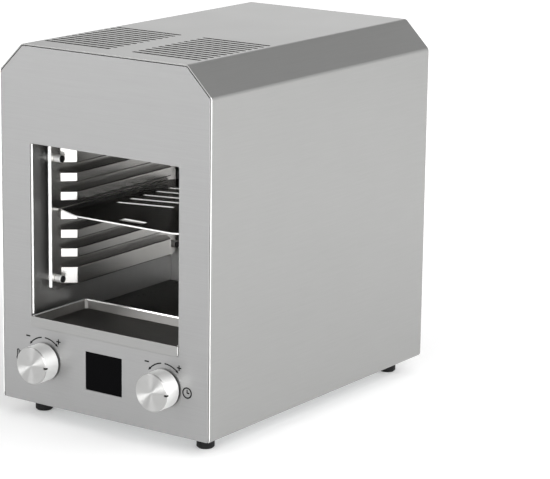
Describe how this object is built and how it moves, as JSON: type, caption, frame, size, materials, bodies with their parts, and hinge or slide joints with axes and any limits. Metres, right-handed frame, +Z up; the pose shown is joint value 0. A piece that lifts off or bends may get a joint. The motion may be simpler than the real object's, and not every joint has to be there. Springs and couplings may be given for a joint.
{
  "type": "high-temperature grill",
  "caption": "Table grill in a folded steel housing: open front cavity with level racks, grill plate and drip tray that slide out, radiant heater above, display and turning knobs.",
  "frame": {"origin": "on the table, under the middle of the box that holds the whole part", "axes": "+Z up, -Y towards the user (the side with the window and knobs), +X to the user's right"},
  "size_m": [0.27, 0.42, 0.395],
  "materials": {
    "brushed_steel": "fine brushed stainless steel",
    "polished_steel": "polished stainless steel",
    "heated_steel": "stainless steel darkened by heat, satin",
    "turned_aluminium": "turned, with concentric tool lines on the face",
    "zinc_plated": "zinc plated steel",
    "rubber": "matte black rubber",
    "black_glass": "glossy black display window",
    "black_plastic": "matte black plastic",
    "circuit_board": "green solder mask",
    "ceramic": "unglazed white ceramic",
    "mineral_wool": "pale mineral wool board",
    "lead_sleeve": "pale woven glass sleeve"
  },
  "bodies": {
    "housing": {"outer_wrap": "brushed_steel", "front_panel": "brushed_steel", "rear_panel": "brushed_steel", "liner_left": "polished_steel", "liner_right": "polished_steel", "liner_floor": "polished_steel", "liner_ceiling": "polished_steel", "liner_back": "polished_steel", "heater_reflector": "polished_steel", "rack_left": "heated_steel", "rack_right": "heated_steel", "heater_element": "heated_steel", "base_plate": "zinc_plated", "thermal_cutout": "zinc_plated", "foot_screw_front_left": "zinc_plated", "foot_screw_rear_left": "zinc_plated", "foot_screw_front_right": "zinc_plated", "foot_screw_rear_right": "zinc_plated", "rear_screw_lower_left": "zinc_plated", "rear_screw_lower_right": "zinc_plated", "rear_screw_upper_left": "zinc_plated", "rear_screw_upper_right": "zinc_plated", "rack_stud_left_front_low": "zinc_plated", "rack_stud_left_front_high": "zinc_plated", "rack_stud_left_rear_low": "zinc_plated", "rack_stud_left_rear_high": "zinc_plated", "left_encoder": "zinc_plated", "left_encoder_nut": "zinc_plated", "rack_stud_right_front_low": "zinc_plated", "rack_stud_right_front_high": "zinc_plated", "rack_stud_right_rear_low": "zinc_plated", "rack_stud_right_rear_high": "zinc_plated", "right_encoder": "zinc_plated", "right_encoder_nut": "zinc_plated", "foot_front_left": "rubber", "foot_rear_left": "rubber", "foot_front_right": "rubber", "foot_rear_right": "rubber", "display_window": "black_glass", "display_module": "black_plastic", "cable_inlet": "black_plastic", "control_board": "circuit_board", "power_board": "circuit_board", "heater_holder_front": "ceramic", "heater_holder_rear": "ceramic", "terminal_block": "ceramic", "side_insulation_left": "mineral_wool", "side_insulation_right": "mineral_wool", "back_insulation": "mineral_wool", "ceiling_insulation": "mineral_wool", "heater_lead_left": "lead_sleeve", "heater_lead_right": "lead_sleeve"},
    "drip_tray": {"drip_tray": "brushed_steel"},
    "grill_plate": {"grill_plate": "heated_steel"},
    "left_knob": {"left_knob": "turned_aluminium", "left_shaft": "zinc_plated", "left_rotor": "black_plastic"},
    "right_knob": {"right_knob": "turned_aluminium", "right_shaft": "zinc_plated", "right_rotor": "black_plastic"}
  },
  "joints": [
    {"name": "drip_tray_slide", "type": "slide", "parent": "housing", "child": "drip_tray", "axis": [0, -1, 0], "range_m": [0, 0.075]},
    {"name": "grill_plate_slide", "type": "slide", "parent": "housing", "child": "grill_plate", "axis": [0, -1, 0], "range_m": [0, 0.15]},
    {"name": "left_knob_turn", "type": "hinge", "parent": "housing", "child": "left_knob", "pos_m": [-0.078, -0.2, 0.0648], "axis": [0, 1, 0], "continuous": true},
    {"name": "right_knob_turn", "type": "hinge", "parent": "housing", "child": "right_knob", "pos_m": [0.078, -0.2, 0.0648], "axis": [0, 1, 0], "continuous": true}
  ]
}
